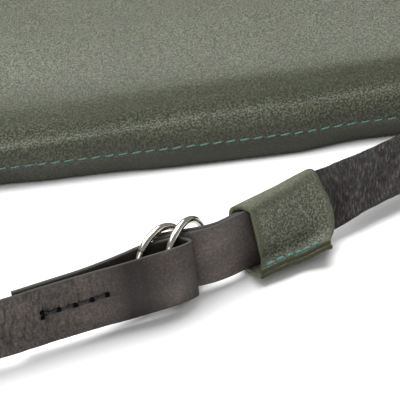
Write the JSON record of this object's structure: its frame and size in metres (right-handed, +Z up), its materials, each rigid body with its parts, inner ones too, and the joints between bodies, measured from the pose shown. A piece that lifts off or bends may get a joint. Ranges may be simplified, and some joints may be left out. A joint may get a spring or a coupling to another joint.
{
  "type": "clutch bag",
  "caption": "Flat leather clutch bag lying on its back: a plump stitched pouch open along one edge, with a leather carrying strap closed by two rings and a leather keeper.",
  "frame": {"origin": "about the middle of the flat underside of the pouch, on the surface it lies on", "axes": "+X along the pouch's long edges, +Y across it towards the open mouth, +Z up out of the surface"},
  "size_m": [0.2908, 0.2811, 0.0332],
  "materials": {
    "green_leather": "fine grain, satin",
    "brown_leather": "creased, satin",
    "nickel": "polished",
    "teal_thread": "twisted thread, satin",
    "black_thread": "waxed thread, matte"
  },
  "bodies": {
    "root": {"front_panel": "green_leather", "back_panel": "green_leather", "strap_left": "brown_leather", "strap_right": "brown_leather", "ring_left": "nickel", "ring_right": "nickel", "keeper": "green_leather"}
  },
  "joints": []
}
